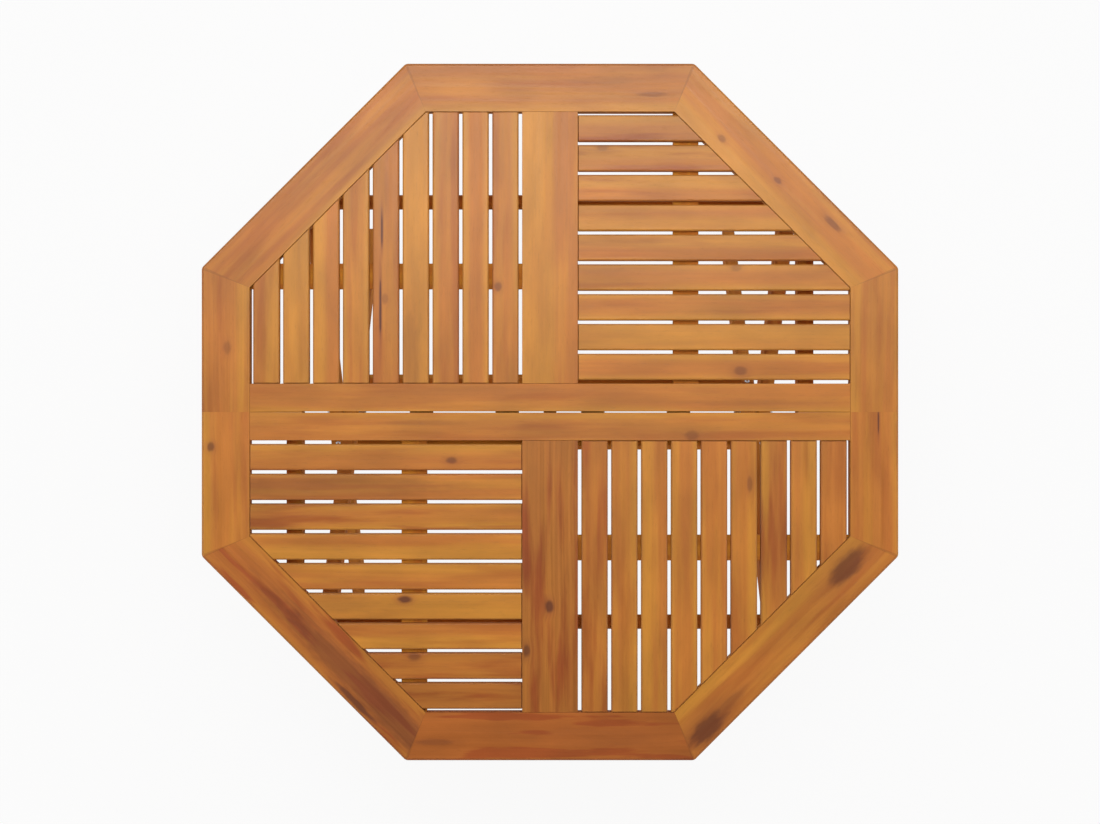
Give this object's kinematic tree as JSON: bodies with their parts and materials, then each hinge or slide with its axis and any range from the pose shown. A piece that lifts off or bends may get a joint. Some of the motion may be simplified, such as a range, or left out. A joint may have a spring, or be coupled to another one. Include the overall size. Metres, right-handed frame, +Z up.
{
  "type": "folding garden table",
  "caption": "Octagonal slatted wooden garden table in two hinged leaves on crossed leg frames; lifting the middle folds it flat.",
  "frame": {"origin": "on the floor under the middle of the top", "axes": "+X along the slit between the leaves, +Y towards the rear leaf, +Z up"},
  "size_m": [0.9, 0.9, 0.75],
  "materials": {
    "rim_wood": "oiled satin",
    "slat_wood": "oiled satin",
    "underframe_wood": "oiled satin",
    "leg_wood": "oiled satin",
    "hinge_brass": "brass plated, satin",
    "zinc_steel": "zinc plated"
  },
  "bodies": {
    "inner_leg_frame": {"bar_spacers": "leg_wood", "inner_left_leg": "leg_wood", "inner_right_leg": "leg_wood", "inner_stretcher": "leg_wood", "inner_top_bar": "leg_wood"},
    "front_leaf": {"front_centre_stile": "rim_wood", "front_hinge_beam": "underframe_wood", "front_hinge_flaps": "hinge_brass", "front_left_batten": "underframe_wood", "front_left_bearer": "underframe_wood", "front_left_diagonal_rail": "rim_wood", "front_left_side_rail": "rim_wood", "front_left_slats": "slat_wood", "front_loose_tenons": "underframe_wood", "front_mid_rail": "rim_wood", "front_outer_rail": "rim_wood", "front_right_batten": "underframe_wood", "front_right_bearer": "underframe_wood", "front_right_diagonal_rail": "rim_wood", "front_right_side_rail": "rim_wood", "front_right_slats": "slat_wood", "front_stop_block": "underframe_wood"},
    "rear_leaf": {"hinge_pins": "hinge_brass", "rear_centre_stile": "rim_wood", "rear_hinge_beam": "underframe_wood", "rear_hinge_flaps": "hinge_brass", "rear_left_batten": "underframe_wood", "rear_left_bearer": "underframe_wood", "rear_left_diagonal_rail": "rim_wood", "rear_left_side_rail": "rim_wood", "rear_left_slats": "slat_wood", "rear_loose_tenons": "underframe_wood", "rear_mid_rail": "rim_wood", "rear_outer_rail": "rim_wood", "rear_right_batten": "underframe_wood", "rear_right_bearer": "underframe_wood", "rear_right_diagonal_rail": "rim_wood", "rear_right_side_rail": "rim_wood", "rear_right_slats": "slat_wood", "rear_stop_block": "underframe_wood"},
    "outer_leg_frame": {"outer_left_leg": "leg_wood", "outer_right_leg": "leg_wood", "outer_stretcher": "leg_wood", "outer_top_bar": "leg_wood", "pivot_bolts": "zinc_steel", "pivot_nuts": "zinc_steel", "pivot_washers": "zinc_steel"}
  },
  "joints": [
    {"name": "slit_hinge", "type": "hinge", "parent": "rear_leaf", "child": "front_leaf", "pos_m": [0, 0, 0.686], "axis": [1, 0, 0], "range_deg": [0, 180]},
    {"name": "rear_bar_pivot", "type": "hinge", "parent": "outer_leg_frame", "child": "rear_leaf", "pos_m": [0, 0.275, 0.704], "axis": [-1, 0, 0], "range_deg": [0, 125.69]},
    {"name": "leg_crossing", "type": "hinge", "parent": "outer_leg_frame", "child": "inner_leg_frame", "pos_m": [0, 0, 0.352], "axis": [-1, 0, 0], "range_deg": [0, 71.38]}
  ],
  "couplings": [
    {"joint": "rear_bar_pivot", "follows": "slit_hinge", "ratio": 0.69827},
    {"joint": "leg_crossing", "follows": "slit_hinge", "ratio": 0.39655}
  ]
}
